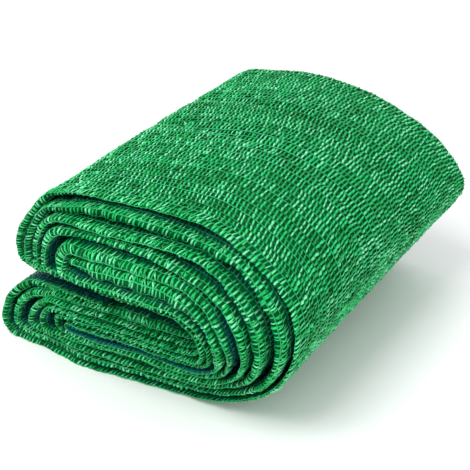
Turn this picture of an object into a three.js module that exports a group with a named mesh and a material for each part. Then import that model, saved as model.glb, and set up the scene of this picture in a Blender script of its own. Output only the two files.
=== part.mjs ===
// Folded green shade netting. One long strip of knitted netting is wound flat and then
// doubled over, so its layers lie in two bundles that a round bend joins on the right.
// Millimetres, +Z up. The strip's front edge, where the layers show, looks towards -Y.

import * as THREE from "three";

// Strip
const STRIP_WIDTH = 217;
const THICKNESS = 2;
const COLOUR = 0x16a055;
const ROUGHNESS = 0.55;

// Turns of the strip, from the outer wrap to the core. Each turn starts at its left nose in
// the lower bundle, runs right along the bottom, up round the bend, left along the top to
// its nose in the upper bundle, and back inside round a small bend to the lower bundle.
// Heights are those of the strip's middle, and slip is how far its front edge slides out.
const TURNS = [
  {
    // outer wrap
    slip: 0,
    lowNose: -109.5, lowReach: 29, low: 1, right: 106.8, bendHeight: 75, spread: 1.28,
    high: 127.7, highNose: -88.6, highReach: 30, highBack: 63.2, innerBend: 42, lowBack: 48,
  },
  {
    // second turn
    slip: 6.5,
    lowNose: -98.5, lowReach: 24, low: 8.8, right: 99.2, bendHeight: 73, spread: 1.25,
    high: 121.3, highNose: -76, highReach: 26, highBack: 67.4, innerBend: 46, lowBack: 44.6,
  },
  {
    // third turn
    slip: 13,
    lowNose: -84.5, lowReach: 19, low: 15.5, right: 90, bendHeight: 70, spread: 1.2,
    high: 114, highNose: -63.5, highReach: 21, highBack: 71.4, innerBend: 50, lowBack: 41.2,
  },
  {
    // fourth turn
    slip: 16,
    lowNose: -71, lowReach: 14, low: 20.8, right: 81, bendHeight: 67, spread: 1.16,
    high: 107, highNose: -52, highReach: 15, highBack: 75.2, innerBend: 54.2, lowBack: 37.8,
  },
  {
    // tongue
    slip: 20,
    lowNose: -58, lowReach: 9, low: 25.2, right: 73.6, bendHeight: 64, spread: 1.1,
    high: 100, highNose: -37, highReach: 12, highBack: 79, innerBend: 58.8, lowBack: 34.2,
  },
];

// Inner end of the strip, lying inside the tongue
const CORE = {
  slip: 21,
  lowNose: -47, lowReach: 4, low: 29.4, right: 66.2, bendHeight: 61, spread: 1.05,
  high: 93, end: -28,
};

// Outer end of the strip, lying between the two bundles
const OUTER_END = { x: -22, height: 51.5 };

// Where a nose is widest, as a share of its height, and how much tighter it turns below that
const LOW_WAIST = 0.22;
const CORE_WAIST = 0.5;
const HIGH_WAIST = 0.16;
const TUCK = 0.5;

// The upper bundle sags towards its nose, more the higher and the further left it lies
const SAG = { curve: 0.0037, floor: 62, range: 67, power: 1.5 };

// The upper noses hang a little over the lower bundle, and the lower noses lean out and droop
const HANG = { drop: 5, from: 52, to: 80, floor: 53, ceiling: 60 };
const LEAN = { slope: 0.24, from: 55, to: 80, height: 12, ceiling: 62 };
const DROOP = { drop: 2.5, floor: 15, ceiling: 55 };

// The slip is full from this height up, and a small share of it near the bottom
const SLIP_SHARE = { least: 0.25, from: 18, to: 80 };

// Along the bottom the front edge lies further back
const BACK_SET = { size: 5.5, from: -50, to: 10, floor: 8, ceiling: 60 };

// The edges wander in and out, and the looser upper layers ride up and down
const WANDER = { size: 1.5, wave: 0.05, shift: 0.9 };
const RIPPLE = { size: 0.8, wave: 0.07, shift: 0.5, depthWave: 2.1, from: 96, to: 112 };

// Towards the back the bend slumps down, tucks in at its foot and bulges out above it
const SLUMP = { down: 16.5, tuck: 12, bulge: 20, to: 95, start: 0.3 };
const SLUMP_DOWN_HEIGHTS = { from: 50, to: 118 };
const SLUMP_OUT_HEIGHTS = { from: 35, to: 85 };

// The top is a little fuller behind its front edge, and at its back left
const CROWN = { size: 2, floor: 85, ceiling: 115 };
const CROWN_FRONT = { from: 25, to: 70, start: -0.42, end: -0.15 };
const CROWN_BACK = { from: -10, to: 50, start: 0.3, end: 0.5 };

// Slow swells of the whole pack along its depth, up and sideways
const SWELL_UP = { size: 2.2, wave: 5.1, start: 0.6, lengthWave: 0.011, tilt: 0.6, from: 25, to: 110 };
const SWELL_SIDE = { size: 1.8, wave: 4.3, start: -0.5, from: 4, to: 60 };

// Steps of the mesh
const ARM_STEP = 24;
const NOSE_STEPS = { most: 5, least: 3 };
const BEND_EXTRA_STEPS = 3;
const INNER_BEND_STEPS = 6;
const CORE_STEPS = { nose: 2, bend: 5 };
const DEPTH_STEPS = [0, 0.05, 0.15, 0.3, 0.47, 0.64, 0.8, 0.93, 1];

function smooth(value, from, to) {
  const t = Math.min(Math.max((value - from) / (to - from), 0), 1);
  return t * t * (3 - 2 * t);
}

// Points of a quarter or half ellipse round a centre, angles in quarter turns
function arc(path, centre, reach, from, to, steps, slip) {
  for (let i = 0; i <= steps; i += 1) {
    const angle = (from + ((to - from) * i) / steps) * Math.PI * 0.5;
    path.push({
      x: centre.x + reach.x * Math.cos(angle),
      z: centre.z + reach.z * Math.sin(angle),
      slip,
    });
  }
}

// Points of the straight stretch between the last point and the next, without its end
function run(path, x, z, slip) {
  const last = path[path.length - 1];
  const steps = Math.max(1, Math.round(Math.abs(x - last.x) / ARM_STEP));
  for (let i = 1; i < steps; i += 1) {
    const t = i / steps;
    path.push({
      x: last.x + (x - last.x) * t,
      z: last.z + (z - last.z) * t,
      slip: last.slip + (slip - last.slip) * t,
    });
  }
}

// Left nose, walked down between two heights
function nose(path, tip, reach, fromHeight, toHeight, waist, steps, slip) {
  const tall = fromHeight - toHeight;
  const z = toHeight + tall * waist;
  const tuck = reach * TUCK;
  run(path, tip + reach, fromHeight, slip);
  arc(path, { x: tip + reach, z }, { x: -reach, z: tall * (1 - waist) }, 1, 0, steps, slip);
  path.pop();
  arc(path, { x: tip + tuck, z }, { x: -tuck, z: tall * waist }, 0, -1, steps, slip);
}

// Outer right bend, walked up from the bottom to the top
function outerBend(path, turn, steps) {
  const above = turn.high - turn.bendHeight;
  const below = turn.bendHeight - turn.low;
  const reachBelow = turn.spread * below;
  const reachAbove = turn.spread * above;
  const centreBelow = { x: turn.right - reachBelow, z: turn.bendHeight };
  const centreAbove = { x: turn.right - reachAbove, z: turn.bendHeight };
  run(path, centreBelow.x, turn.low, turn.slip);
  arc(path, centreBelow, { x: reachBelow, z: below }, -1, 0, steps, turn.slip);
  path.pop();
  arc(path, centreAbove, { x: reachAbove, z: above }, 0, 1, steps, turn.slip);
}

// Inner right bend, walked down from the upper bundle to the lower one
function innerBend(path, turn) {
  const radius = (turn.highBack - turn.lowBack) / 2;
  const centre = { x: turn.innerBend - radius, z: turn.lowBack + radius };
  run(path, centre.x, turn.highBack, turn.slip);
  arc(path, centre, { x: radius, z: radius }, 1, -1, INNER_BEND_STEPS, turn.slip);
}

// Centre line of the whole strip in the end view, before the pack sags
function centreLine() {
  const path = [{ x: OUTER_END.x, z: OUTER_END.height, slip: 0 }];
  let height = OUTER_END.height;
  TURNS.forEach((turn, i) => {
    const steps = Math.max(NOSE_STEPS.least, NOSE_STEPS.most - i);
    nose(path, turn.lowNose, turn.lowReach, height, turn.low, LOW_WAIST, steps, turn.slip);
    outerBend(path, turn, steps + BEND_EXTRA_STEPS);
    nose(path, turn.highNose, turn.highReach, turn.high, turn.highBack, HIGH_WAIST, steps, turn.slip);
    innerBend(path, turn);
    height = turn.lowBack;
  });
  nose(path, CORE.lowNose, CORE.lowReach, height, CORE.low, CORE_WAIST, CORE_STEPS.nose, CORE.slip);
  outerBend(path, CORE, CORE_STEPS.bend);
  run(path, CORE.end, CORE.high, CORE.slip);
  path.push({ x: CORE.end, z: CORE.high, slip: CORE.slip });
  return path;
}

// How far towards the back a point of the front edge lies
function edge({ x, z, slip }) {
  const share = SLIP_SHARE.least + (1 - SLIP_SHARE.least) * smooth(z, SLIP_SHARE.from, SLIP_SHARE.to);
  const back = smooth(x, BACK_SET.from, BACK_SET.to) * (1 - smooth(z, BACK_SET.floor, BACK_SET.ceiling));
  const wander = Math.sin(WANDER.wave * x + WANDER.shift * slip);
  return BACK_SET.size * back + WANDER.size * wander - slip * share;
}

// Place of a centre-line point in the pack, at a share of the strip's width from its front
function place(point, share) {
  const y = (share - 0.5) * STRIP_WIDTH + edge(point);
  const along = y / STRIP_WIDTH;
  let { x, z } = point;
  if (z < LEAN.ceiling) {
    const left = smooth(-x, LEAN.from, LEAN.to);
    x += LEAN.slope * left * (z - LEAN.height);
    z -= DROOP.drop * left * smooth(z, DROOP.floor, DROOP.ceiling);
  }
  if (z > SAG.floor && x < 0) {
    z -= SAG.curve * x * x * Math.pow((z - SAG.floor) / SAG.range, SAG.power);
  }
  z -= HANG.drop * smooth(-x, HANG.from, HANG.to) * smooth(z, HANG.floor, HANG.ceiling);

  const ripple = Math.sin(RIPPLE.wave * x + RIPPLE.shift * point.slip + RIPPLE.depthWave * along);
  z += RIPPLE.size * smooth(z, RIPPLE.from, RIPPLE.to) * ripple;

  const slump = smooth(x, 0, SLUMP.to) * Math.pow(Math.max(along + SLUMP.start, 0), 2);
  const out = SLUMP.bulge * smooth(z, SLUMP_OUT_HEIGHTS.from, SLUMP_OUT_HEIGHTS.to) - SLUMP.tuck;
  z -= SLUMP.down * slump * smooth(z, SLUMP_DOWN_HEIGHTS.from, SLUMP_DOWN_HEIGHTS.to);
  x += out * slump;

  const front = smooth(-x, CROWN_FRONT.from, CROWN_FRONT.to)
    * smooth(along, CROWN_FRONT.start, CROWN_FRONT.end);
  const back = smooth(-x, CROWN_BACK.from, CROWN_BACK.to)
    * smooth(along, CROWN_BACK.start, CROWN_BACK.end);
  z += CROWN.size * (front + back) * smooth(z, CROWN.floor, CROWN.ceiling);

  const up = Math.sin(SWELL_UP.wave * along + SWELL_UP.start + SWELL_UP.lengthWave * x);
  const side = Math.sin(SWELL_SIDE.wave * along + SWELL_SIDE.start);
  z += SWELL_UP.size * smooth(z, SWELL_UP.from, SWELL_UP.to) * (up - SWELL_UP.tilt * along);
  x += SWELL_SIDE.size * smooth(z, SWELL_SIDE.from, SWELL_SIDE.to) * side;
  return new THREE.Vector3(x, y, z);
}

// Two faces of the sheet at each station of the path and each step of the depth
function sheetPoints(path) {
  const points = [];
  const last = path.length - 1;
  path.forEach((point, i) => {
    DEPTH_STEPS.forEach((share) => {
      const before = place(path[Math.max(i - 1, 0)], share);
      const after = place(path[Math.min(i + 1, last)], share);
      const along = after.sub(before).setY(0).normalize();
      const across = new THREE.Vector3(-along.z, 0, along.x).multiplyScalar(THICKNESS / 2);
      const middle = place(point, share);
      points.push(middle.clone().add(across), middle.clone().sub(across));
    });
  });
  return points;
}

// Closed sheet: both faces, the front and back edges, and the strip's two ends
function sheetFaces(stations, columns) {
  const faces = [];
  const at = (i, j, side) => (i * columns + j) * 2 + side;
  const quad = (a, b, c, d) => faces.push(a, b, c, a, c, d);
  const lastRow = stations - 1;
  const lastColumn = columns - 1;
  for (let i = 0; i < lastRow; i += 1) {
    for (let j = 0; j < lastColumn; j += 1) {
      quad(at(i, j, 0), at(i + 1, j, 0), at(i + 1, j + 1, 0), at(i, j + 1, 0));
      quad(at(i, j, 1), at(i, j + 1, 1), at(i + 1, j + 1, 1), at(i + 1, j, 1));
    }
    quad(at(i, 0, 1), at(i + 1, 0, 1), at(i + 1, 0, 0), at(i, 0, 0));
    quad(
      at(i, lastColumn, 0), at(i + 1, lastColumn, 0),
      at(i + 1, lastColumn, 1), at(i, lastColumn, 1),
    );
  }
  for (let j = 0; j < lastColumn; j += 1) {
    quad(at(0, j, 0), at(0, j + 1, 0), at(0, j + 1, 1), at(0, j, 1));
    quad(at(lastRow, j, 1), at(lastRow, j + 1, 1), at(lastRow, j + 1, 0), at(lastRow, j, 0));
  }
  return faces;
}

// The whole strip, set down with the middle of its underside at the origin
function nettingGeometry() {
  const path = centreLine();
  const geometry = new THREE.BufferGeometry().setFromPoints(sheetPoints(path));
  geometry.setIndex(sheetFaces(path.length, DEPTH_STEPS.length));
  geometry.computeBoundingBox();
  const box = geometry.boundingBox;
  const centre = box.getCenter(new THREE.Vector3());
  geometry.translate(-centre.x, -centre.y, -box.min.z);
  geometry.computeVertexNormals();
  return geometry;
}

const material = new THREE.MeshStandardMaterial({
  color: COLOUR,
  roughness: ROUGHNESS,
  metalness: 0,
});
const netting = new THREE.Mesh(nettingGeometry(), material);
netting.name = "netting";

const root = new THREE.Group();
root.add(netting);

export default root;
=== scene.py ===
# %% [markdown]
# # Folded shade netting
# A long strip of green knitted shade netting, wound flat and doubled over into a soft pack.
# The lesson builds the cloth as real knitted pieces: a sheet for the plies inside each layer, painted
# dark green as the shade under the tapes, the tapes that cross from one chain line to the next, and the
# chain lines themselves.
# The cloth is worked out in millimetres, and turned to metres when it is built.

# %% Load the imported model and keep its box
import math

import bpy
import numpy as np
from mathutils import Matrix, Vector


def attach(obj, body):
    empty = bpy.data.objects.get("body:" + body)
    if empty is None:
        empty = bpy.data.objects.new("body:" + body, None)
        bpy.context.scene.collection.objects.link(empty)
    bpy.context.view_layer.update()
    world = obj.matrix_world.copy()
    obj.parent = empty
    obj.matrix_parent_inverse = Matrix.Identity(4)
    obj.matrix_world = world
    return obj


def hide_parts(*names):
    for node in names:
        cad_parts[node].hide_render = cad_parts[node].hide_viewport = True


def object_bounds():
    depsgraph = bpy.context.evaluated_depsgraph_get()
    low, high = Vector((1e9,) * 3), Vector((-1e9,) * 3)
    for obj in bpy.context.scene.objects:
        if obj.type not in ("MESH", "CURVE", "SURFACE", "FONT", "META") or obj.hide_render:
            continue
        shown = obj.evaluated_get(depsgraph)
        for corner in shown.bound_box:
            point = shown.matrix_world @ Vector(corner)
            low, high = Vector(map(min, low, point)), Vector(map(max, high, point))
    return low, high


MILLIMETRE = 0.001
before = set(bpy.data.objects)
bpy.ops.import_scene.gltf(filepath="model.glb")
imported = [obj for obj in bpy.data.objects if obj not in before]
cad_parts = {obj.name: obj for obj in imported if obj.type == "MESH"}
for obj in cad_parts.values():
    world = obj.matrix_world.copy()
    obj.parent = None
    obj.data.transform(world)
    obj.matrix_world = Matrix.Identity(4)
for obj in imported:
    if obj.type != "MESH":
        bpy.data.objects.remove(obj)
solid_box = [list(map(float, corner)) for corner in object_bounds()]
print("solid box, metres:", solid_box)

# %% [markdown]
# ## Camera
# The photo looks down on the pack by 30 degrees, from 32 degrees to the right of its front.
# The camera could be placed by hand, but a direction, a distance and a lens say it exactly.

# %% Place the camera at the photo's angle
AZIMUTH = math.radians(32.0)
ELEVATION = math.radians(30.0)
DISTANCE = 0.702
LENS = 82.7
AIM = Vector((-0.0016, 0.0077, 0.0533))

towards_camera = Vector((
    math.sin(AZIMUTH) * math.cos(ELEVATION),
    -math.cos(AZIMUTH) * math.cos(ELEVATION),
    math.sin(ELEVATION),
))
lens = bpy.data.cameras.new("photo_lens")
lens.lens = LENS
camera = bpy.data.objects.new("photo_camera", lens)
camera.location = AIM + DISTANCE * towards_camera
camera.rotation_euler = (-towards_camera).to_track_quat("-Z", "Y").to_euler()
bpy.context.scene.collection.objects.link(camera)
bpy.context.scene.camera = camera
print("camera at", [round(value, 3) for value in camera.location])

# %% [markdown]
# ## The way the strip is wound
# Seen from the front, the strip is one line. It goes round the lower bundle's left end, along
# the bottom, up the round bend, along the top, round the upper bundle's left end and back
# inside, five times over. The line could be drawn point by point, but a few driving numbers
# for each turn are easier to fit, and they are the solid's own, so the cloth lies on its folds.
# A nose is a bundle's left end, given by its tip and by how far its curve reaches. Heights are
# those of the strip's middle, and slip is how far a turn's front edge slides out.

# %% Numbers of each turn, in millimetres
STRIP_WIDTH = 217.0
TURN_COLUMNS = (
    "slip", "low_nose", "low_reach", "low", "right", "bend_height", "spread",
    "high", "high_nose", "high_reach", "high_back", "inner_bend", "low_back",
)
TURN_ROWS = (
    (0.0, -109.5, 29, 1.0, 106.8, 75, 1.28, 127.7, -88.6, 30, 63.2, 42.0, 48.0),
    (6.5, -98.5, 24, 8.8, 99.2, 73, 1.25, 121.3, -76.0, 26, 67.4, 46.0, 44.6),
    (13.0, -84.5, 19, 15.5, 90.0, 70, 1.20, 114.0, -63.5, 21, 71.4, 50.0, 41.2),
    (16.0, -71.0, 14, 20.8, 81.0, 67, 1.16, 107.0, -52.0, 15, 75.2, 54.2, 37.8),
    (20.0, -58.0, 9, 25.2, 73.6, 64, 1.10, 100.0, -37.0, 12, 79.0, 58.8, 34.2),
)
TURNS = [dict(zip(TURN_COLUMNS, row)) for row in TURN_ROWS]
CORE = dict(
    slip=21.0, low_nose=-47.0, low_reach=4, low=29.4, right=66.2, bend_height=61,
    spread=1.05, high=93.0, end=-28.0,
)
OUTER_END = (-22.0, 51.5)
print(len(TURNS), "turns; heights along the top:", [turn["high"] for turn in TURNS])

# %% [markdown]
# Each turn is four curves with straight stretches between them. Blender's curves could draw
# them, but the knit has to be laid at any distance along the line, which a row of points gives.
# A nose is widest at its waist, a share of its height, and tucks in more tightly below that.

# %% Arcs, noses and bends
ARC_STEP = math.radians(3.0)
LOW_WAIST, CORE_WAIST, HIGH_WAIST = 0.22, 0.5, 0.16
TUCK = 0.5


def arc(centre, reach, start, end, slip):
    """Part of an ellipse in the end view, between two angles in degrees."""
    start, end = math.radians(start), math.radians(end)
    angle = np.linspace(start, end, int(abs(end - start) / ARC_STEP) + 1)
    x = centre[0] + reach[0] * np.cos(angle)
    z = centre[1] + reach[1] * np.sin(angle)
    return np.column_stack((x, z, np.full_like(x, slip)))


def left_nose(tip, reach, upper, lower, waist, slip):
    """Left end of a bundle, walked down from its upper height to its lower one."""
    tall = upper - lower
    height = lower + tall * waist
    tuck = TUCK * reach
    return [
        arc((tip + reach, height), (reach, tall * (1 - waist)), 90, 180, slip),
        arc((tip + tuck, height), (tuck, tall * waist), 180, 270, slip)[1:],
    ]


def right_bend(turn):
    """Big round bend, walked up from the bottom to the top."""
    below = turn["bend_height"] - turn["low"]
    above = turn["high"] - turn["bend_height"]
    low_reach, high_reach = turn["spread"] * below, turn["spread"] * above
    low_centre = (turn["right"] - low_reach, turn["bend_height"])
    high_centre = (turn["right"] - high_reach, turn["bend_height"])
    return [
        arc(low_centre, (low_reach, below), -90, 0, turn["slip"]),
        arc(high_centre, (high_reach, above), 0, 90, turn["slip"])[1:],
    ]


def inner_bend(turn):
    """Small bend inside the pack, walked down from the upper bundle to the lower one."""
    radius = (turn["high_back"] - turn["low_back"]) / 2
    centre = (turn["inner_bend"] - radius, turn["low_back"] + radius)
    return [arc(centre, (radius, radius), 90, -90, turn["slip"])]


print("an arc of 90 degrees has", len(arc((0, 0), (1, 1), 0, 90, 0)), "points")

# %% [markdown]
# The arcs follow one another into the strip's whole line, from its outer end between the two
# bundles to its inner end in the core. The distances along it also give the strip's length.

# %% Join the arcs into the strip's line
def low_nose(turn, height, waist):
    return left_nose(turn["low_nose"], turn["low_reach"], height, turn["low"], waist, turn["slip"])


def high_nose(turn):
    tip, reach, upper, lower = (turn[name] for name in ("high_nose", "high_reach", "high", "high_back"))
    return left_nose(tip, reach, upper, lower, HIGH_WAIST, turn["slip"])


def strip_line():
    """Whole line of the strip as x, z and slip, from its outer end to its core."""
    line = [np.array([[*OUTER_END, 0.0]])]
    height = OUTER_END[1]
    for turn in TURNS:
        line += low_nose(turn, height, LOW_WAIST)
        line += right_bend(turn)
        line += high_nose(turn)
        line += inner_bend(turn)
        height = turn["low_back"]
    line += low_nose(CORE, height, CORE_WAIST)
    line += right_bend(CORE)
    line.append(np.array([[CORE["end"], CORE["high"], CORE["slip"]]]))
    return np.vstack(line)


LINE = strip_line()
STRETCHES = np.hypot(*np.diff(LINE[:, :2], axis=0).T)
DISTANCES = np.concatenate(([0.0], np.cumsum(STRETCHES)))
STRIP_LENGTH = float(DISTANCES[-1])


def end_of(turn):
    """Distance along the strip at which a turn ends, at the foot of its inner bend."""
    radius = (turn["high_back"] - turn["low_back"]) / 2
    off = np.hypot(LINE[:, 0] - turn["inner_bend"] + radius, LINE[:, 1] - turn["low_back"])
    return float(DISTANCES[np.argmin(off)])


TURN_ENDS = [end_of(turn) for turn in TURNS]
print("strip", round(STRIP_LENGTH), "mm long; turns end at", [round(end) for end in TURN_ENDS])

# %% [markdown]
# ## How the pack has settled
# A real pack isn't a clean extrusion. Its upper bundle sags to the left, the bend slumps
# towards the back, the inner turns slide out at the front, and slow swells run through it.
# They could be sculpted by hand, but smooth pushes on the line's points, the same as the
# solid's, let the tapes, the chain lines and the hidden plies all move together.
# First comes the front edge. A turn slides out less near the bottom of the pack than near the
# top, and along the bottom the edge also lies a little further back.

# %% Where the front edge lies
SLIP_LEAST, SLIP_HEIGHTS = 0.25, (18.0, 80.0)
BACK_SET = dict(size=5.5, places=(-50.0, 10.0), heights=(8.0, 60.0))
EDGE_SWAY = dict(size=1.5, wave=0.05, shift=0.9)


def smooth(value, low, high):
    """Smooth step from 0 at the low value to 1 at the high one."""
    share = np.clip((value - low) / (high - low), 0.0, 1.0)
    return share * share * (3.0 - 2.0 * share)


def front_edge(x, z, slip):
    """How far towards the back the strip's front edge lies."""
    share = SLIP_LEAST + (1.0 - SLIP_LEAST) * smooth(z, *SLIP_HEIGHTS)
    back = smooth(x, *BACK_SET["places"]) * (1.0 - smooth(z, *BACK_SET["heights"]))
    sway = np.sin(EDGE_SWAY["wave"] * x + EDGE_SWAY["shift"] * slip)
    return BACK_SET["size"] * back + EDGE_SWAY["size"] * sway - slip * share


edges = [front_edge(0.0, 90.0, turn["slip"]) for turn in TURNS]
print("front edges near the top, mm:", np.round(edges, 1))

# %% [markdown]
# The two left ends settle most. The lower one leans inwards as it rises, and droops. The upper
# one sags, more the higher and the further left it lies, and hangs a little over the lower one.

# %% Settle the left ends
BUNDLES_MEET = 62.0
LEAN_IN = dict(slope=0.24, places=(55.0, 80.0), height=12.0)
DROOP = dict(size=2.5, heights=(15.0, 55.0))
SAG = dict(curve=0.0037, height=67.0, power=1.5)
HANG = dict(size=5.0, places=(52.0, 80.0), heights=(53.0, 60.0))


def settle_left(x, z):
    """Lean and droop the lower left end, sag the upper one and let it hang over."""
    left = smooth(-x, *LEAN_IN["places"])
    lower = z < BUNDLES_MEET
    x = np.where(lower, x + LEAN_IN["slope"] * left * (z - LEAN_IN["height"]), x)
    z = np.where(lower, z - DROOP["size"] * left * smooth(z, *DROOP["heights"]), z)
    high = np.maximum((z - BUNDLES_MEET) / SAG["height"], 0.0)
    sag = SAG["curve"] * x * x * high ** SAG["power"]
    z = np.where((z > BUNDLES_MEET) & (x < 0.0), z - sag, z)
    return x, z - HANG["size"] * smooth(-x, *HANG["places"]) * smooth(z, *HANG["heights"])


print("the upper left end sags to", settle_left(-60.0, TURNS[0]["high"])[1].round(1), "mm")

# %% [markdown]
# The upper layers ripple a little, as they lie loose. Towards the back the bend slumps down,
# tucks in at its foot and bulges out above it. Depths are shares of the strip's width, from
# -0.5 at the front edge to 0.5 at the back one.

# %% Settle the bend
RIPPLE = dict(size=0.8, wave=0.07, shift=0.5, depth_wave=2.1, heights=(96.0, 112.0))
SLUMP = dict(down=16.5, tuck=12.0, bulge=20.0, places=(0.0, 95.0), start=0.3)
SLUMP_DOWN_HEIGHTS, SLUMP_OUT_HEIGHTS = (50.0, 118.0), (35.0, 85.0)


def settle_bend(x, z, slip, depth):
    """Ripple the upper layers, and slump the bend towards the back."""
    ripple = np.sin(RIPPLE["wave"] * x + RIPPLE["shift"] * slip + RIPPLE["depth_wave"] * depth)
    z = z + RIPPLE["size"] * smooth(z, *RIPPLE["heights"]) * ripple
    slump = smooth(x, *SLUMP["places"]) * np.maximum(depth + SLUMP["start"], 0.0) ** 2
    out = SLUMP["bulge"] * smooth(z, *SLUMP_OUT_HEIGHTS) - SLUMP["tuck"]
    z = z - SLUMP["down"] * slump * smooth(z, *SLUMP_DOWN_HEIGHTS)
    return x + out * slump, z


print("the top of the bend slumps at its back to", settle_bend(90.0, 110.0, 0.0, 0.5)[1].round(1), "mm")

# %% [markdown]
# The top is a little fuller behind its front edge and at its back left, and slow swells run
# through the whole pack from front to back.

# %% Swell the pack
CROWN = dict(size=2.0, heights=(85.0, 115.0))
CROWN_FRONT = dict(places=(25.0, 70.0), depths=(-0.42, -0.15))
CROWN_BACK = dict(places=(-10.0, 50.0), depths=(0.3, 0.5))
SWELL_UP = dict(size=2.2, wave=5.1, start=0.6, length_wave=0.011, tilt=0.6, heights=(25.0, 110.0))
SWELL_SIDE = dict(size=1.8, wave=4.3, start=-0.5, heights=(4.0, 60.0))


def swell(x, z, depth):
    """Fill out the top, and move the pack up and sideways by slow swells."""
    front = smooth(-x, *CROWN_FRONT["places"]) * smooth(depth, *CROWN_FRONT["depths"])
    back = smooth(-x, *CROWN_BACK["places"]) * smooth(depth, *CROWN_BACK["depths"])
    z = z + CROWN["size"] * (front + back) * smooth(z, *CROWN["heights"])
    up = np.sin(SWELL_UP["wave"] * depth + SWELL_UP["start"] + SWELL_UP["length_wave"] * x)
    side = np.sin(SWELL_SIDE["wave"] * depth + SWELL_SIDE["start"])
    z = z + SWELL_UP["size"] * smooth(z, *SWELL_UP["heights"]) * (up - SWELL_UP["tilt"] * depth)
    x = x + SWELL_SIDE["size"] * smooth(z, *SWELL_SIDE["heights"]) * side
    return x, z


def settle(x, z, slip, share):
    """Place of a point of the line in the settled pack, at a share of the strip's width."""
    y = (share - 0.5) * STRIP_WIDTH + front_edge(x, z, slip)
    depth = y / STRIP_WIDTH
    x, z = settle_left(x, z)
    x, z = settle_bend(x, z, slip, depth)
    x, z = swell(x, z, depth)
    return np.stack((x, y, z), axis=-1)


print("middle of the top, mm:", settle(0.0, TURNS[0]["high"], 0.0, 0.5).round(1))

# %% [markdown]
# The photo's top also shows two shallow creases that run from the left to the bend, where the
# strip was once folded. They are only about a millimetre deep, so they are in the looks and
# not in the solid, and they lower every layer near the top by the same formula.

# %% Shallow creases over the top
CREASE_HEIGHTS = (60.0, 110.0)
CREASES = (
    dict(y=-8.0, slope=-0.16, depth=1.3, half_width=5.0),
    dict(y=38.0, slope=-0.10, depth=1.1, half_width=6.0),
)


def dip(places, fold, spread=1.0):
    """How far one crease lowers the places, over its own width or a wider spread."""
    off = (places[..., 1] - fold["y"] - fold["slope"] * places[..., 0]) / (spread * fold["half_width"])
    return fold["depth"] * smooth(places[..., 2], *CREASE_HEIGHTS) * np.exp(-off * off)


def crease(places):
    """Lower the upper layers a little along each crease."""
    lower = sum(dip(places, fold) for fold in CREASES)
    places[..., 2] -= lower
    return places


print(len(CREASES), "creases, mm deep:", [fold["depth"] for fold in CREASES])

# %% [markdown]
# A place on the flat strip is a distance along it and one across it, and a rise out of its
# face. Blender's curve modifier could bend a flat net round a line, but not settle it too, so
# these functions do both. The shift sets the cloth where the solid stands.

# %% Lay any point of the flat strip into the pack
# How far to either side of a place its direction is taken
TANGENT_REACH = 1.2
# Half of the solid's thickness, and the steps and rows at which its box is measured again
SOLID_HALF = 1.0
BOX_STEP, BOX_ROWS = 4.0, 9


def middle(along, across):
    """Place of a point in the middle of the strip's thickness."""
    x, z, slip = (np.interp(along, DISTANCES, LINE[:, column]) for column in range(3))
    return crease(settle(x, z, slip, across / STRIP_WIDTH))


def outwards(along, across):
    """Direction out of the strip's outer face, in the end view."""
    ahead = middle(np.minimum(along + TANGENT_REACH, STRIP_LENGTH), across)
    behind = middle(np.maximum(along - TANGENT_REACH, 0.0), across)
    tangent = ahead - behind
    length = np.hypot(tangent[..., 0], tangent[..., 2])
    nothing = np.zeros_like(length)
    return np.stack((tangent[..., 2] / length, nothing, -tangent[..., 0] / length), axis=-1)


def lay_plain(along, across, rise):
    """Points at a rise from the strip's middle, outwards being positive, in millimetres."""
    return middle(along, across) + outwards(along, across) * np.asarray(rise)[..., None]


grid = np.meshgrid(np.arange(0.0, STRIP_LENGTH, BOX_STEP), np.linspace(0.0, STRIP_WIDTH, BOX_ROWS))
both_faces = np.concatenate([
    lay_plain(*grid, np.full(grid[0].shape, rise)).reshape(-1, 3) for rise in (-SOLID_HALF, SOLID_HALF)
])
solid_low, solid_high = (np.array(corner) / MILLIMETRE for corner in solid_box)
SHIFT = (solid_low + solid_high - both_faces.max(axis=0) - both_faces.min(axis=0)) / 2
SHIFT[2] = solid_low[2] - both_faces[:, 2].min()
print("shift, mm:", SHIFT.round(2))

# %% [markdown]
# A knit is never quite even. Its lines wander by about a millimetre, and they all wander
# together, so the wandering is worked out on the flat strip before it is laid into the pack.
# The two long edges also go in and out a little, as folded netting does. Noise could do both,
# but a few waves of different lengths are smoother and easier to steer.

# %% Wander of the knit
# Each wave has its size and its turns in radians per millimetre along and across the strip
SIDEWAYS = ((0.9, 0.021, 0.09), (0.5, 0.057, -0.13))
FORWARDS = ((1.1, 0.012, 0.047), (0.7, -0.02, 0.12))
# Each of these has its size, its turns along the edge, and where it starts
RUFFLES = ((0.45, 0.13, 0.0), (0.3, 0.37, 1.0), (0.2, 1.27, 2.0))
# Distances from the edge over which the knit comes free to wander, and the ruffles fade
FREE_FROM_EDGE, RUFFLED_EDGE = (3.0, 16.0), (2.0, 16.0)
# The back edge goes in where the front edge goes in, but by a smaller share
BACK_RUFFLE = 0.8
FLOOR_GAP = 0.05


def waves(rows, along, across=1.0):
    """Sum of waves at a distance along the strip and one across it."""
    return sum(size * np.sin(turn * along + other * across) for size, turn, other in rows)


def wander(along, across):
    """A place on the flat strip, moved as the knit wanders there."""
    edge = np.minimum(across, STRIP_WIDTH - across)
    free = smooth(edge, *FREE_FROM_EDGE)
    return along + free * waves(FORWARDS, along, across), across + free * waves(SIDEWAYS, along, across)


def ruffle(along, across):
    """Small ins and outs of the two folded edges, in millimetres towards the back."""
    front = 1.0 - smooth(across, *RUFFLED_EDGE)
    back = 1.0 - smooth(STRIP_WIDTH - across, *RUFFLED_EDGE)
    return (front - BACK_RUFFLE * back) * waves(RUFFLES, along)


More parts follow.
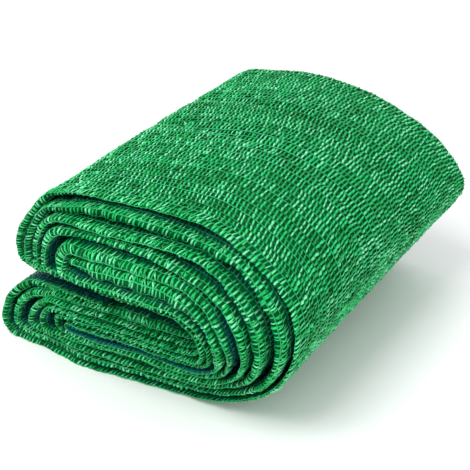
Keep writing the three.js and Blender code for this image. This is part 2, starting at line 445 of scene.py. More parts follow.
def lay(along, across, rise):
    """As lay_plain, but wandering and ruffled, where the solid stands, never under its base."""
    along, across, rise = np.broadcast_arrays(along, across, rise)
    along, across = wander(along, across)
    places = lay_plain(np.clip(along, 0.0, STRIP_LENGTH), across, rise) + SHIFT
    places[..., 1] += ruffle(along, across)
    places[..., 2] = np.maximum(places[..., 2], FLOOR_GAP)
    return places


print("outer end of the front edge, mm:", lay(0.0, 0.0, 0.0).round(1))

# %% [markdown]
# ## How plump each layer is
# Each layer of the real pack is several plies of loose net, so it fills most of its room. The
# room is measured in the end view, from each place on the strip to the nearest other layer on
# either side. Side 1 is the strip's outer face, and side -1 the inner one.

# %% Measure the room beside each layer
ROOM_STEP = 3.0
# Places nearer than this along the strip belong to the same layer
SAME_LAYER = 20.0
NOTHING_NEAR = 99.0
# Only what lies within about 53 degrees of straight out counts
FACING = 0.6
NEVER_ZERO = 1e-6
EDGE_SHARES = (0.03, 0.97)
room_along = np.arange(0.0, STRIP_LENGTH, ROOM_STEP)
turn_of = np.searchsorted(TURN_ENDS, room_along)
line_x, line_z = (np.interp(room_along, DISTANCES, LINE[:, column]) for column in (0, 1))


def room(side, share):
    """Distance to the nearest other layer on one side of the strip."""
    across = np.full_like(room_along, share * STRIP_WIDTH)
    here = middle(room_along, across)[:, (0, 2)]
    out = side * outwards(room_along, across)[:, (0, 2)]
    apart = here[None, :, :] - here[:, None, :]
    distance = np.hypot(apart[..., 0], apart[..., 1]) + NEVER_ZERO
    facing = (apart * out[:, None, :]).sum(axis=-1) > FACING * distance
    other = np.abs(room_along[None, :] - room_along[:, None]) > SAME_LAYER
    return np.where(facing & other, distance, NOTHING_NEAR).min(axis=1)


ROOM = {side: np.minimum(*(room(side, share) for share in EDGE_SHARES)) for side in (1, -1)}
print("room outside, mm:", np.percentile(ROOM[1], (5, 50)).round(1))

# %% [markdown]
# The photo shows where dark gaps stay open: a wide one under the outer wrap, thin ones between
# the second, third and fourth turns, a wide one in the bend before the innermost turns, and
# almost none inside them. In the left ends the plies gather on the inner side of each fold,
# and past the strip's outer end the next ply swells up into the room that it leaves.
# The regions are the top, the bend, the bottom and the way back inside. The numbers say for
# each of them what stays open, and which of two layers fills the rest.

# %% Gaps and plumpness by region, in millimetres
TOP, BEND, BOTTOM, BACK = range(4)
BEND_STARTS, TOP_STARTS, BOTTOM_ENDS = 62.0, 85.0, 32.0
# The gap left open between each turn and the next one in, with a row for each region
OPEN_GAP = np.array((
    (2.8, 1.0, 1.6, 2.2, 0.3),
    (2.8, 3.2, 2.2, 4.8, 1.2),
    (4.0, 3.0, 2.2, 0.4, 0.4),
    (2.0, 2.0, 2.0, 2.0, 2.0),
))
# The share of the rest that the outer one of the two turns fills
OUTER_SHARE = np.array((
    (0.25, 0.8, 0.45, 0.2, 0.5),
    (0.16, 0.45, 0.6, 0.35, 0.5),
    (0.25, 0.5, 0.5, 0.5, 0.5),
    (0.5, 0.5, 0.5, 0.5, 0.5),
))
# Half thicknesses: the most in each region, those of the core's inner side, and single ones
MOST_PLUMP = np.array((5.0, 5.0, 4.0, 1.2))
CORE_PLUMP = np.array((7.5, 2.6, 0.7, 0.7))
UNDER_CORE_PLUMP, WRAP_PLUMP, LEAST_PLUMP, STRIP_END_PLUMP = 4.5, 1.0, 0.7, 0.9
# Half thicknesses in the left ends, from the outer wrap to the core, and where those ends start
NOSE_PLUMP = {1: (1.0, 1.2, 1.2, 1.2, 1.2, 0.9), -1: (3.4, 3.4, 2.8, 2.0, 1.2, 0.9)}
NOSES = (36.0, 62.0)
PAST_END = dict(size=4.6, starts=(-24.0, -8.0), ends=(14.0, 36.0), below=56.0)
UNDER_CORE = dict(above=60.0, left_of=45.0)
STRIP_END = 14.0
print("gap under the outer wrap, mm:", dict(zip(("top", "bend", "bottom"), OPEN_GAP[:, 0])))

# %% [markdown]
# The numbers turn into a half thickness at every few millimetres of the strip, on either side,
# and are evened out so that no layer changes its thickness in a step.

# %% Fill the room
region = np.select(
    [line_x > BEND_STARTS, line_z > TOP_STARTS, line_z < BOTTOM_ENDS], [BEND, TOP, BOTTOM], BACK,
)
LAST_TURN = len(TURNS) - 1
within = np.minimum(turn_of, LAST_TURN)
without = np.maximum(turn_of - 1, 0)
in_wrap, in_core, in_back = turn_of == 0, turn_of > LAST_TURN, region == BACK
noses = smooth(-line_x, *NOSES)


def evened(values, reach=9):
    """Values along the strip, each averaged with its neighbours."""
    padded = np.pad(values, reach // 2, mode="edge")
    return np.convolve(padded, np.ones(reach) / reach, mode="valid")


def fill(side, turn, share):
    """Half thickness that fills the room on one side, but for the gap that stays open."""
    free = (ROOM[side] - OPEN_GAP[region, turn]) * share[region, turn]
    return np.clip(free, LEAST_PLUMP, MOST_PLUMP[region])


FILL = {
    1: np.where(in_wrap, WRAP_PLUMP, fill(1, without, 1.0 - OUTER_SHARE)),
    -1: np.where(in_core, CORE_PLUMP[region], fill(-1, within, OUTER_SHARE)),
}
under_core = in_back & (line_z > UNDER_CORE["above"]) & (line_x < UNDER_CORE["left_of"])
under_core = under_core & (turn_of == LAST_TURN)
FILL[-1][under_core] = UNDER_CORE_PLUMP
swollen = smooth(line_x, *PAST_END["starts"]) * (1.0 - smooth(line_x, *PAST_END["ends"]))
past_end = (turn_of == 1) & in_back & (line_z < PAST_END["below"])
FILL[1] += np.where(past_end, PAST_END["size"] * swollen, 0.0)
core_end = 1.0 - smooth(STRIP_LENGTH - room_along, 0.0, STRIP_END)
for side in (1, -1):
    FILL[side] += noses * (np.array(NOSE_PLUMP[side])[turn_of] - FILL[side])
    FILL[side] += core_end * np.minimum(STRIP_END_PLUMP - FILL[side], 0.0)
PLUMP = {side: evened(FILL[side]) for side in (1, -1)}
print("plump, mm:", PLUMP[1].min().round(2), "to", PLUMP[1].max().round(2))

# %% [markdown]
# The plies are bunched, so a layer's thickness is a little uneven along the strip. Two waves
# give that, and they differ between the two sides.

# %% Uneven thickness
UNEVEN = ((0.10, 0.19, 1.0), (0.08, 0.47, 2.0))


def plump(along, side):
    """Half thickness on one side, a little uneven as the plies are bunched."""
    return np.interp(along, room_along, PLUMP[side]) * (1.0 + waves(UNEVEN, along, side))


print("half thickness at the start, mm:", plump(0.0, 1).round(2))

# %% [markdown]
# ## How deep a place lies between the layers, for the painted shade
# Light gets between the layers only through other netting, so the cloth darkens from its edge inwards,
# and sooner where a gap is wide. The render's own shadows do part of this. The rest is painted shade: a
# number at each point, from 0 in daylight to 1 deep inside, by which the materials darken the green.
# Each turn stands out in front of the wrap outside it, so that much of its outer side is lit.

# %% Work out what the layers cover
# A face is covered where another layer lies this near
NEIGHBOUR_WITHIN = 40.0
# A gap starts to count as a hollow at the first of these, and fully counts from the second
HOLLOW_GAPS = (2.4, 4.4)
# The gap that is taken to be open inside the core
CORE_OPEN = 5.0
# How far in from the edge a hollow starts to darken; below 0 it is dark at the edge already,
# most of all in the core's lower fold
DARK_FROM, DARK_FROM_IN_CORE, CORE_FOLD_BELOW = -1.0, -4.5, 40.0
# How far in from its edge each turn's outer face is lit, from the outer wrap to the core. On
# the way back inside it keeps a share of that, and the inner face has one width of its own
LIT_EDGE = np.array((6.0, 4.4, 6.0, 3.0, 3.0, 1.0))
LIT_IN_BACK, LIT_INSIDE = 0.4, 2.0
# The upper bundle's underside lies over the lower one and gets painted shade, less the further in a
# turn is
OVERHANG = dict(shade=0.8, less=0.3, above=56.0, right_of=-62.0)

COVERED = {side: evened((ROOM[side] < NEIGHBOUR_WITHIN).astype(float)) for side in (1, -1)}
OPEN = {side: ROOM[side] - 2.0 * PLUMP[side] for side in (1, -1)}
between = ~in_back & (noses < 0.5)
OPEN[1] = np.where(between, OPEN_GAP[region, without], OPEN[1])
OPEN[-1] = np.where(between, OPEN_GAP[region, within], OPEN[-1])
OPEN[-1] = np.where(in_core, CORE_OPEN, OPEN[-1])
HOLLOW = {side: evened(smooth(OPEN[side], *HOLLOW_GAPS)) for side in (1, -1)}
core_fold = in_core & (line_z < CORE_FOLD_BELOW)
HOLLOW_FROM = {
    1: np.full_like(room_along, DARK_FROM),
    -1: np.where(core_fold, DARK_FROM_IN_CORE, DARK_FROM),
}
STANDS_OUT = {
    1: evened(LIT_EDGE[turn_of] * np.where(in_back, LIT_IN_BACK, 1.0)),
    -1: np.where(in_back, LIT_INSIDE, 0.0),
}
underside = in_back & (line_z > OVERHANG["above"]) & (line_x > OVERHANG["right_of"])
overhang = np.maximum(OVERHANG["shade"] - OVERHANG["less"] * turn_of, 0.0)
OVERHUNG = evened(np.where(underside, overhang, 0.0))
print("share of the strip covered outside:", COVERED[1].mean().round(2))

# %% [markdown]
# Between two touching layers the painted shade grows over a few millimetres from the lit edge, and in a
# hollow it grows from the edge itself.

# %% Depth of a point between the layers
MOST_SHADE = 0.85
SHADE_REACH, HOLLOW_REACH = 5.0, 5.5


def depth_between_layers(along, across, side):
    """Painted shade at a point: 0 where the daylight reaches, up to 1 deep between two layers or in a
    hollow.
    """
    edge = np.minimum(across, STRIP_WIDTH - across)
    covered, hollow, dark_from, lit, overhung = (
        np.interp(along, room_along, part)
        for part in (COVERED[side], HOLLOW[side], HOLLOW_FROM[side], STANDS_OUT[side], OVERHUNG)
    )
    shade = MOST_SHADE * np.clip((edge - lit) / SHADE_REACH, 0.0, 1.0)
    dark = smooth(edge, dark_from, dark_from + HOLLOW_REACH)
    return np.maximum(covered * ((1.0 - hollow) * shade + hollow * dark), overhung)


print("depth inside the core:", depth_between_layers(STRIP_LENGTH, STRIP_WIDTH / 2, 1).round(2))

# %% [markdown]
# ## Meshes from rings of points
# A tape, a chain line and the hidden plies are all rings of points that follow one another.
# Blender's curves could draw them, but there are tens of thousands, so one mesh holds each
# kind, and its faces come from counting.

# %% Turn rings of points into one mesh
def ring_faces(pieces, stations, around):
    """Corners of all faces in a row, and how many each face has, for pieces made of rings."""
    first = (np.arange(pieces) * stations * around)[:, None, None]
    station = (np.arange(stations - 1) * around)[None, :, None]
    point = np.arange(around)[None, None, :]
    here, beside = first + station + point, first + station + (point + 1) % around
    sides = np.stack((here, beside, beside + around, here + around), axis=-1).reshape(-1, 4)
    cap = np.arange(around)[None, :]
    start_caps = first[:, :, 0] + cap[:, ::-1]
    end_caps = first[:, :, 0] + (stations - 1) * around + cap
    corners = np.concatenate((sides.ravel(), start_caps.ravel(), end_caps.ravel()))
    counts = np.concatenate((np.full(len(sides), 4), np.full(2 * pieces, around)))
    return corners, counts


def ringed_mesh(name, rings, material):
    """One object from an array of pieces, stations, ring points and coordinates."""
    pieces, stations, around, _ = rings.shape
    corners, counts = ring_faces(pieces, stations, around)
    mesh = bpy.data.meshes.new(name)
    mesh.vertices.add(pieces * stations * around)
    mesh.vertices.foreach_set("co", (rings * MILLIMETRE).astype(np.float32).ravel())
    mesh.loops.add(len(corners))
    mesh.loops.foreach_set("vertex_index", corners.astype(np.int32))
    mesh.polygons.add(len(counts))
    starts = np.concatenate(([0], np.cumsum(counts)[:-1]))
    mesh.polygons.foreach_set("loop_start", starts.astype(np.int32))
    mesh.polygons.foreach_set("use_smooth", np.ones(len(counts), dtype=bool))
    mesh.update(calc_edges=True)
    mesh.validate()
    mesh.materials.append(material)
    piece = bpy.data.objects.new(name, mesh)
    bpy.context.scene.collection.objects.link(piece)
    print(name, "has", int((counts - 2).sum()), "triangles")
    return piece


def shade_depth(piece, values):
    """Keep how deep each point lies between the layers, from 0 to 1, for the material's painted shade.
    """
    depth = piece.data.attributes.new("depth", "FLOAT", "POINT")
    depth.data.foreach_set("value", np.asarray(values, dtype=np.float32).ravel())


# %% [markdown]
# ## Materials
# The netting is HDPE. Its tapes are slit from blown film, so they are flat, slightly streaky
# and softly glossy. The chain lines are round monofilament of a deeper green. HDPE has an IOR
# of 1.54, and a roughness of about 0.35 where its surface is clean, which gives each tape one
# bright spot. The hidden net is rougher to the eye, as it stands for many small tapes at once.

# %% Colours and one helper for nodes
HDPE_IOR = 1.54


def colour(code):
    """Linear colour of an sRGB hex code."""
    parts = [int(code[i:i + 2], 16) / 255 for i in (1, 3, 5)]
    linear = [v / 12.92 if v <= 0.04045 else ((v + 0.055) / 1.055) ** 2.4 for v in parts]
    return (*linear, 1.0)


def add_node(material, kind, settings=None, values=None, links=None):
    """Add one node, with its settings, its sockets' values and what feeds its sockets."""
    node = material.node_tree.nodes.new(kind)
    for name, value in (settings or {}).items():
        setattr(node, name, value)
    for name, value in (values or {}).items():
        node.inputs[name].default_value = value
    for name, source in (links or {}).items():
        material.node_tree.links.new(source, node.inputs[name])
    return node


print("a mid green, linear:", [round(part, 3) for part in colour("#0fce6d")])

# %% [markdown]
# ### Greens
# Each tape has its own shade, because it turns over and stretches as it is knitted, and the pack has
# paler and darker patches about 24 mm wide. A picture could hold the shades, but a number for each
# loose piece of the mesh and a noise give them without one. Between the layers the green is darkened by
# painted shade, and in the open hollows it is painted a dark teal that stands in for the little light
# that gets there through other tapes.

# %% Green of a piece, and the painted shade that darkens it between the layers
PATCH_WIDTH = 23.81
# The pieces' own shades start at the first of these and spread over the second
FIRST_SHADE, SHADES_APART = 0.15, 0.7
DARK_AT, MID_AT, LIGHT_AT = 0.1, 0.5, 0.92
# Painted shade: a dark green between the layers, and a dark teal in the hollows for the light that
# comes through other tapes
PAINTED_SHADE_BETWEEN_LAYERS, PAINTED_SHADE_IN_HOLLOWS = "#005a34", "#006663"
HOLLOWS_FROM = 0.6
# Sockets of a mix node that mixes colours
MIX_FACTOR, MIX_FIRST, MIX_SECOND, MIX_RESULT = 0, 6, 7, 2


def greens(material, place, dark, mid, light, patch_share):
    """Colour of each loose piece, from its own shade and from the patch that it lies in."""
    own = add_node(material, "ShaderNodeNewGeometry")
    patches = add_node(
        material, "ShaderNodeTexNoise",
        values={"Scale": 1.0 / (PATCH_WIDTH * MILLIMETRE), "Detail": 4.0, "Roughness": 0.65},
        links={"Vector": place.outputs["Object"]},
    )
    by_piece = add_node(
        material, "ShaderNodeMath", {"operation": "MULTIPLY_ADD"},
        {1: SHADES_APART, 2: FIRST_SHADE - patch_share / 2},
        {0: own.outputs["Random Per Island"]},
    )
    shade = add_node(
        material, "ShaderNodeMath", {"operation": "MULTIPLY_ADD", "use_clamp": True},
        {1: patch_share}, {0: patches.outputs["Fac"], 2: by_piece.outputs[0]},
    )
    ramp = add_node(material, "ShaderNodeValToRGB", links={"Fac": shade.outputs[0]})
    ramp.color_ramp.elements[0].position = DARK_AT
    ramp.color_ramp.elements[0].color = colour(dark)
    ramp.color_ramp.elements[1].position = LIGHT_AT
    ramp.color_ramp.elements[1].color = colour(light)
    ramp.color_ramp.elements.new(MID_AT).color = colour(mid)
    return ramp.outputs["Color"]


def with_painted_shade(material, green):
    """The green under painted shade, as dark as a point lies deep between the layers."""
    depth = add_node(material, "ShaderNodeAttribute", {"attribute_name": "depth"})
    deep = add_node(material, "ShaderNodeValToRGB", links={"Fac": depth.outputs["Fac"]})
    deep.color_ramp.elements[0].position = HOLLOWS_FROM
    deep.color_ramp.elements[0].color = colour(PAINTED_SHADE_BETWEEN_LAYERS)
    deep.color_ramp.elements[1].color = colour(PAINTED_SHADE_IN_HOLLOWS)
    mixed = add_node(
        material, "ShaderNodeMix", {"data_type": "RGBA"}, None,
        {MIX_FACTOR: depth.outputs["Fac"], MIX_FIRST: green, MIX_SECOND: deep.outputs["Color"]},
    )
    return mixed.outputs[MIX_RESULT]


print("patches", PATCH_WIDTH, "mm wide")

# %% [markdown]
# ### HDPE
# Fine streaks run through the blown film and the drawn monofilament. They are about 0.1 mm
# apart on the real ones, and are drawn at 0.5 and 0.33 mm so that they show. Those of the
# hidden net are drawn at 2 mm, like its own small tapes. They are a bump and not a shape, since
# they only break up the light.

# %% Materials of the tapes, the monofilament and the hidden net
STREAK_DEPTH, STREAK_STRENGTH = 0.2, 0.4


def hdpe_material(name, colours, roughness, gloss, patch_share, streak_width):
    """HDPE in three greens, with streaks as wide as stated, in millimetres."""
    material = bpy.data.materials.new(name)
    material.use_nodes = True
    shader = material.node_tree.nodes["Principled BSDF"]
    shader.inputs["IOR"].default_value = HDPE_IOR
    shader.inputs["Roughness"].default_value = roughness
    shader.inputs["Specular IOR Level"].default_value = gloss
    place = add_node(material, "ShaderNodeTexCoord")
    streaks = add_node(
        material, "ShaderNodeTexNoise",
        values={"Scale": 1.0 / (streak_width * MILLIMETRE), "Detail": 2.0},
        links={"Vector": place.outputs["Object"]},
    )
    bump = add_node(
        material, "ShaderNodeBump",
        values={"Strength": STREAK_STRENGTH, "Distance": STREAK_DEPTH * MILLIMETRE},
        links={"Height": streaks.outputs["Fac"]},
    )
    green = with_painted_shade(material, greens(material, place, *colours, patch_share))
    material.node_tree.links.new(green, shader.inputs["Base Color"])
    material.node_tree.links.new(bump.outputs["Normal"], shader.inputs["Normal"])
    print("material", name)
    return material


slit_tape = hdpe_material(
    "slit_hdpe_tape", ("#009a42", "#0fce6d", "#86fcba"),
    roughness=0.35, gloss=0.3, patch_share=0.8, streak_width=0.5,
)
monofilament = hdpe_material(
    "hdpe_monofilament", ("#08904a", "#16aa61", "#33c47f"),
    roughness=0.35, gloss=0.3, patch_share=0.8, streak_width=1.0 / 3.0,
)
# The hidden net's greens are darker than the tapes' as painted shade: the plies are the same green
# netting, lying in shade under the tapes
hidden_net_in_painted_shade = hdpe_material(
    "hidden_hdpe_net_painted_shade", ("#002a12", "#003d1c", "#00562b"),
    roughness=0.7, gloss=0.05, patch_share=1.4, streak_width=2.0,
)

# %% [markdown]
# ## The hidden plies
# This sheet is the cloth's body and carries the knit on both faces. Its two long edges are
# rounded, because the netting is folded there and not cut. A bevel would round them evenly,
# but each layer has its own thickness at each place, so the rounding is a formula of it. The
# flat columns of points start about where the first chain line lies.

# %% A point on the rounded cross-section
# How far in the rounding reaches, and about where the first chain line lies
EDGE_REACH = 3.0
FIRST_CHAIN = 9.0
BEND_SHARE, LEAST_BEND, MOST_BEND = 0.7, 2.5, 6.5


def bend_path(thickness):
    """Length of the way round the edge, from the crest to the flat face."""
    return np.clip(BEND_SHARE * (thickness + EDGE_REACH), LEAST_BEND, MOST_BEND)


def round_edge(path, over, thickness):
    """Distance across the strip and rise of a point at a way from the edge's crest."""
    bend = bend_path(thickness)
    angle = np.minimum(np.abs(path) / bend, 1.0) * math.pi / 2
    flat = np.maximum(np.abs(path) - bend, 0.0) * (FIRST_CHAIN - EDGE_REACH) / (FIRST_CHAIN - bend)
    across = EDGE_REACH * (1.0 - np.cos(angle)) + flat - over * np.cos(angle)
    return across, np.sign(path) * (thickness + over) * np.sin(angle)


print("way round an edge 2 mm thick to each side, mm:", bend_path(2.0).round(1))

# %% [markdown]
# The sheet is a ring of points round the strip's width that is swept along its length. It lies
# a little under the tapes. Across the strip its points stand nearly as far apart as a crease
# is wide, so it dips more widely there and stays under the tapes.

# %% Build the hidden plies
# Distance from ring to ring, rise over the layer's face, and columns on the flat part
PLY_STEP = 3.8
PLY_SINK = -0.4
PLY_COLUMNS = 22
PLY_DIP_SPREAD = 2.0
# Places of the points round an edge, as shares of the way round it
ROUND_SHARES = np.array((0.02, 0.25, 0.5, 0.75, 1.0))
ply_along = np.linspace(0.0, STRIP_LENGTH, int(STRIP_LENGTH / PLY_STEP))[:, None]
flat_columns = np.linspace(FIRST_CHAIN, STRIP_WIDTH - FIRST_CHAIN, PLY_COLUMNS)


def under_creases(across, rise):
    """Extra depth of the plies along a crease, whose bottom lies between two of their columns."""
    places = lay(ply_along, across, rise) - SHIFT
    return np.maximum(*(dip(places, fold, PLY_DIP_SPREAD) for fold in CREASES))


def face(side):
    """Points across one face, from the front edge to the back one."""
    thickness = plump(ply_along, side)
    path = side * ROUND_SHARES * bend_path(thickness)
    edge_across, edge_rise = round_edge(path, PLY_SINK, thickness)
    flat_across = np.broadcast_to(flat_columns, (len(ply_along), len(flat_columns)))
    flat_rise = side * (thickness + PLY_SINK) + 0.0 * flat_across
    flat_rise = flat_rise - under_creases(flat_across, flat_rise)
    across = np.hstack((edge_across, flat_across, STRIP_WIDTH - edge_across[:, ::-1]))
    return across, np.hstack((edge_rise, flat_rise, edge_rise[:, ::-1]))


outer_across, outer_rise = face(1)
inner_across, inner_rise = face(-1)
ply_across = np.hstack((outer_across, inner_across[:, ::-1]))
ply_rise = np.hstack((outer_rise, inner_rise[:, ::-1]))
plies = ringed_mesh("netting_plies", lay(ply_along, ply_across, ply_rise)[None], hidden_net_in_painted_shade)
outer_depth = depth_between_layers(ply_along, outer_across, 1)
inner_depth = depth_between_layers(ply_along, inner_across, -1)
shade_depth(plies, np.hstack((outer_depth, inner_depth[:, ::-1])))

# %% [markdown]
# ## The tapes
# The net is a three-needle raschel knit. Its chain lines stand 8.7 mm apart, and a stitch is
# 2.8 mm long. At every stitch a tape crosses from one chain line to the next, leaning a
# little, and a thin laid-in thread pinches it halfway, so each half stands up like a grain.
# Each tape has its own width, lean and twist by chance, which is what makes the netting glitter.
# Between two tapes one looks through a narrow slot at the plies below, whose green is painted dark as
# the shade in those slots.
# One tape could be copied along the strip, but built one by one they follow every layer.

# %% Size of the knit
GAPS = 25
WALE_PITCH = STRIP_WIDTH / GAPS
STITCH = 2.8
SEED = 7
rng = np.random.default_rng(SEED)
# A tape's cross-section is a low ridge: its two sides, and its top
RIDGE_SIDE = np.array((-0.5, 0.0, 0.5))
RIDGE_TOP = np.array((0.0, 1.0, 0.0))
print("chain lines", round(WALE_PITCH, 2), "mm apart")

# %% [markdown]
# A tape of the outer wrap has five stations, so that it is pinched at both chain lines and
# halfway. Less shows of the inner turns and of the back, where three or two are enough.

# %% Tapes that cross between two chain lines
# Millimetres; a spread is the usual difference from one tape to another
LEAN, LEAN_SPREAD, STITCH_SPREAD = 1.3, 0.4, 0.2
# Widths are shares of the full one: of each tape, where it is pinched, and of one with two stations
TAPE_WIDTH, TAPE_WIDTHS = 1.7, (0.75, 1.15)
PINCHED_WIDTH, PLAIN_WIDTH = 0.4, 0.8
# Rise of one side over the other for each millimetre of width, all along and from end to end
ROLL_SPREAD, TWIST_SPREAD = 0.3, 0.45
# A few tapes lie deeper than the rest
SUNK_SHARE, SUNK = 0.06, 0.3
LIFTS, PINCH_DEPTH = (0.1, 0.6), 0.3
RIDGE_HEIGHT, BEDDED = 0.35, 0.15


def crossing_tapes(name, stretch, gaps, side, stations):
    """Tapes of one stretch of the strip, in the named gaps between chain lines."""
    stitches = np.arange(stretch[0] + STITCH, stretch[1] - STITCH, STITCH)
    begin, gap = (part.ravel()[:, None, None] for part in np.meshgrid(stitches, gaps))
    one_each = begin.shape
    begin = begin + rng.normal(0.0, STITCH_SPREAD, one_each)
    travel = np.linspace(0.0, 1.0, stations)[None, :, None]
    wide = TAPE_WIDTH * rng.uniform(*TAPE_WIDTHS, one_each)
    roll = rng.normal(0.0, ROLL_SPREAD, one_each)
    roll = roll + rng.normal(0.0, TWIST_SPREAD, one_each) * np.cos(math.pi * travel)
    sunk = np.where(rng.random(one_each) < SUNK_SHARE, -SUNK, 0.0)
    grain = np.abs(np.sin((stations - 1) // 2 * math.pi * travel))
    narrowed = PINCHED_WIDTH + (1.0 - PINCHED_WIDTH) * grain if stations > 2 else PLAIN_WIDTH
    along = begin + (LEAN + rng.normal(0.0, LEAN_SPREAD, one_each)) * (travel - 0.5)
    along = along + wide * narrowed * RIDGE_SIDE
    across = WALE_PITCH * (gap + travel) + 0.0 * along
    lift = sunk + rng.uniform(*LIFTS, one_each) * grain - PINCH_DEPTH * (1.0 - grain)
    lift = lift + RIDGE_HEIGHT * RIDGE_TOP + wide * roll * RIDGE_SIDE
    rings = lay(along, across, side * (plump(along, side) + lift - BEDDED))
    piece = ringed_mesh(name, rings[:, :, ::-side], slit_tape)
    shade_depth(piece, depth_between_layers(along, across, side))
    return piece


OUTER_TURN = (0.0, TURN_ENDS[0])
INNER_TURNS = (TURN_ENDS[0], STRIP_LENGTH)
WHOLE_STRIP = (0.0, STRIP_LENGTH)
MIDDLE_GAPS = np.arange(1, GAPS - 1)
FRONT_GAPS = np.arange(1, 4)
BACK_GAPS = np.arange(GAPS - 3, GAPS - 1)
knit = [
    crossing_tapes("outer_tapes", OUTER_TURN, MIDDLE_GAPS, 1, 5),
    crossing_tapes("turn_front_tapes", INNER_TURNS, FRONT_GAPS, 1, 3),
    crossing_tapes("inside_front_tapes", WHOLE_STRIP, FRONT_GAPS, -1, 3),
    crossing_tapes("turn_back_tapes", INNER_TURNS, BACK_GAPS, 1, 2),
    crossing_tapes("inside_back_tapes", WHOLE_STRIP, BACK_GAPS, -1, 2),
]

# %% [markdown]
# At the folded edges the same tapes go round from one face to the other. A chain line sways
# about the very edge, now on one face and now on the other, and each tape starts anew there.
# In the photo the tapes on the edges all lean one way, whichever way the layer runs, so their
# lean is worked out from the layer's direction in the end view.

# %% Lean of the tapes at the edges
SOFTENED, AT_LEVEL = 0.3, 0.77
EDGE_SWING, EDGE_WAVE, EDGE_START = 1.9, 0.011, 0.5
run_x, run_z = np.gradient(line_x, ROOM_STEP), np.gradient(line_z, ROOM_STEP)
# 1 where the strip runs level, -1 where it runs straight up or down, and more where it climbs
LEAN_BY_RUN = evened((run_x ** 2 - run_z ** 2) / ((run_z - run_x) ** 2 + SOFTENED) / AT_LEVEL)


def edge_line(along):
    """Where the chain line near the edge lies, in millimetres round the edge."""
    return EDGE_SWING * np.sin(EDGE_WAVE * along + EDGE_START)


print("the lean is multiplied by", LEAN_BY_RUN.min().round(1), "to", LEAN_BY_RUN.max().round(1))

# %% [markdown]
# Three kinds of row make up an edge. One goes round the crest, one lies beside it up to the
# first chain line, and at the front a third lies deeper and leans the other way. A row's
# shares say where its tapes lie, from 1 at the first chain line to 0 at the edge's own.

# %% Tapes between the edge's chain line and the first one on a face
EDGE_ROW = dict(shares=(0.5, 0.3, 0.13, -0.04), lean=4.2, bedded=0.1)
FACE_ROW = dict(shares=(1.0, 0.74, 0.48), lean=1.0, bedded=0.1)
CROSSING_ROW = dict(shares=(0.55, 0.25, 0.0), lean=-1.6, bedded=0.3)
# Millimetres and spreads, as for the tapes that cross
EDGE_WIDTHS = (0.9, 1.55)
EDGE_STITCH_SPREAD, EDGE_LEAN_SPREAD, EDGE_ROLL_SPREAD, EDGE_LIFT_SPREAD = 0.4, 1.0, 0.22, 0.2
EDGE_RIDGE = 0.4


def edge_tapes(name, at_back, side, row):
    """One row of tapes along a folded edge, on one side of the strip."""
    begin = np.arange(STITCH, STRIP_LENGTH - STITCH, STITCH)[:, None, None]
    one_each = begin.shape
    begin = begin + rng.normal(0.0, EDGE_STITCH_SPREAD, one_each)
    share = np.array(row["shares"])[None, :, None]
    middle_share = (row["shares"][0] + row["shares"][-1]) / 2
    wide = rng.uniform(*EDGE_WIDTHS, one_each)
    roll = rng.normal(0.0, EDGE_ROLL_SPREAD, one_each)
    lean = side * row["lean"] * np.interp(begin, room_along, LEAN_BY_RUN)
    lean = lean + rng.normal(0.0, EDGE_LEAN_SPREAD, one_each)
    along = begin + lean * (middle_share - share)
    along = along + wide * RIDGE_SIDE
    path = side * FIRST_CHAIN * share + (1.0 - share) * edge_line(begin) + 0.0 * along
    over = rng.normal(0.0, EDGE_LIFT_SPREAD, one_each) - row["bedded"]
    over = over + EDGE_RIDGE * RIDGE_TOP + wide * roll * RIDGE_SIDE
    thick = np.where(path > 0, plump(along, 1), plump(along, -1))
    across, rise = round_edge(path, over, thick)
    across = STRIP_WIDTH - across if at_back else across
    turned = 1 if at_back == (side > 0) else -1
    piece = ringed_mesh(name, lay(along, across, rise)[:, :, ::turned], slit_tape)
    shade_depth(piece, depth_between_layers(along, across, side))
    return piece


def folded_edge(edge, at_back):
    """The rows on the crest of one folded edge and beside it, on both faces."""
    return [
        edge_tapes(f"{edge}_{part}_{face_name}_tapes", at_back, side, row)
        for part, row in (("edge", EDGE_ROW), ("face", FACE_ROW))
        for face_name, side in (("outer", 1), ("inner", -1))
    ]


knit += folded_edge("front", False)
knit.append(edge_tapes("front_crossing_tapes", False, 1, CROSSING_ROW))
knit += folded_edge("back", True)
print(len(knit), "kinds of tape")

# %% [markdown]
# ## The chain lines
# A chain line is a row of loops of monofilament, each pulled through the last, and it holds
# the tapes down. Real loops could be built, but from this far a chain line is a thin cord that
# swells at each loop, so it is drawn as one. The laid-in threads halfway between are thinner.

# %% Chain lines along the strip
# Half widths, which are also heights, and how far each stands over the layer's face
CHAIN, THREAD, EDGE_THREAD = 0.42, 0.3, 0.26
CHAIN_OVER, THREAD_OVER = 0.05, -0.15
BETWEEN_LOOPS = 0.6
STAGGER = 0.12
LOOP = STITCH / 2


def loops(count):
    """Thickness of a chain line at each station, full at a loop and less between two."""
    return np.where(np.arange(count) % 2 == 0, 1.0, BETWEEN_LOOPS)[None, :, None]


def cords(name, stretch, places, side, thick=CHAIN, over=CHAIN_OVER, step=LOOP):
    """Cords along one stretch of the strip, at distances from its front edge."""
    stations = np.arange(stretch[0], stretch[1], step)[None, :, None]
    swelling = loops(stations.size)
    stagger = rng.normal(0.0, STAGGER, (len(places), stations.size, 1))
    across = places[:, None, None] + stagger + 2.0 * thick * swelling * RIDGE_SIDE
    along = stations + 0.0 * across
    lift = over + thick * swelling * RIDGE_TOP + 0.0 * across
    rings = lay(along, across, side * (plump(along, side) + lift))
    piece = ringed_mesh(name, rings[:, :, ::side], monofilament)
    shade_depth(piece, depth_between_layers(along, across, side))
    return piece


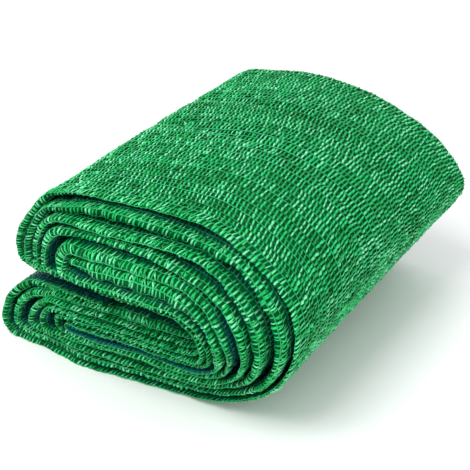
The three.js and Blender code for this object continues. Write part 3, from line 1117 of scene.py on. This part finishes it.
ALL_WALES = WALE_PITCH * np.arange(1, GAPS)
FRONT_WALES, BACK_WALES = ALL_WALES[:3], ALL_WALES[-3:]
BETWEEN_WALES = ALL_WALES[:-1] + WALE_PITCH / 2
chains = [
    cords("outer_chains", OUTER_TURN, ALL_WALES, 1),
    cords("outer_laid_in_threads", OUTER_TURN, BETWEEN_WALES, 1, THREAD, THREAD_OVER),
    cords("turn_front_chains", INNER_TURNS, FRONT_WALES, 1),
    cords("inside_front_chains", WHOLE_STRIP, FRONT_WALES, -1),
    cords("turn_back_chains", INNER_TURNS, BACK_WALES, 1, step=STITCH),
    cords("inside_back_chains", WHOLE_STRIP, BACK_WALES, -1, step=STITCH),
]

# %% [markdown]
# The edge's own chain line follows its sway, and a laid-in thread lies to either side of it at
# the front, about halfway to the first chain line on that face.

# %% Chain lines and threads at the edges
EDGE_CHAIN_OVER = 0.15
EDGE_CHAIN_WIDE = 1.6
THREAD_LEVEL = 0.48


def edge_cord(name, at_back, level=0.0, thick=CHAIN):
    """The chain line near the very edge, or a laid-in thread beside it."""
    along = np.arange(STITCH, STRIP_LENGTH - STITCH, LOOP)[None, :, None]
    swelling = loops(along.size)
    path = FIRST_CHAIN * level + (1.0 - abs(level)) * edge_line(along)
    path = path + EDGE_CHAIN_WIDE * thick * swelling * RIDGE_SIDE
    along = along + 0.0 * path
    thickness = np.where(path > 0, plump(along, 1), plump(along, -1))
    across, rise = round_edge(path, EDGE_CHAIN_OVER + thick * swelling * RIDGE_TOP, thickness)
    across = STRIP_WIDTH - across if at_back else across
    turned = -1 if at_back else 1
    piece = ringed_mesh(name, lay(along, across, rise)[:, :, ::turned], monofilament)
    shade_depth(piece, depth_between_layers(along, across, 1 if level >= 0 else -1))
    return piece


chains += [
    edge_cord("front_edge_chain", False),
    edge_cord("front_outer_laid_in_thread", False, THREAD_LEVEL, EDGE_THREAD),
    edge_cord("front_inner_laid_in_thread", False, -THREAD_LEVEL, EDGE_THREAD),
    edge_cord("back_edge_chain", True),
]
print(len(chains), "kinds of chain line and thread")

# %% [markdown]
# ## What belongs to what
# The cloth takes the solid's place in the picture. It doesn't move, so every piece rides on the one
# body.

on_the_sheet = [*knit, *chains]
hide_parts("netting")
for piece in (plies, *on_the_sheet):
    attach(piece, "root")
print(1 + len(on_the_sheet), "pieces declared")

# %% [markdown]
# ## Floor and light
# The photo is a cut-out on white. A pale floor under a white sky comes close to it, and one
# soft light from high in front gives the tapes their bright spots and lets the pack stand on
# its own faint shadow. A second light would add a second shadow. The plain display transform
# keeps the greens as strong as they are on the real netting.

# %% Floor
FLOOR_SIZE = 8.0
FLOOR_ROUGHNESS = 0.9
bpy.ops.mesh.primitive_plane_add(size=FLOOR_SIZE)
floor = bpy.context.object
floor.name = "floor"
matt_white = bpy.data.materials.new("matt_white_floor")
matt_white.use_nodes = True
matt_white.node_tree.nodes["Principled BSDF"].inputs["Base Color"].default_value = colour("#fbfbfa")
matt_white.node_tree.nodes["Principled BSDF"].inputs["Roughness"].default_value = FLOOR_ROUGHNESS
floor.data.materials.append(matt_white)
print("floor", FLOOR_SIZE, "m wide")

# %% [markdown]
# The sky is the world's background, which lights everything evenly. The soft light is a square
# panel that faces the pack, since a large source softens the edges of the shadow.

# %% Sky and soft light
SKY_STRENGTH = 1.0
LIGHT_PLACE = Vector((-0.2, -0.75, 1.3))
LIGHT_SIZE, LIGHT_POWER = 0.8, 13.0
bpy.context.scene.view_settings.view_transform = "Standard"
world = bpy.data.worlds.new("pale_room")
world.use_nodes = True
world.node_tree.nodes["Background"].inputs["Color"].default_value = colour("#f8fafc")
world.node_tree.nodes["Background"].inputs["Strength"].default_value = SKY_STRENGTH
bpy.context.scene.world = world

panel = bpy.data.lights.new("key_light", "AREA")
panel.size = LIGHT_SIZE
panel.energy = LIGHT_POWER
key_light = bpy.data.objects.new("key_light", panel)
key_light.location = LIGHT_PLACE
key_light.rotation_euler = (AIM - LIGHT_PLACE).to_track_quat("-Z", "Y").to_euler()
bpy.context.scene.collection.objects.link(key_light)
print("one soft light of", LIGHT_POWER, "W")
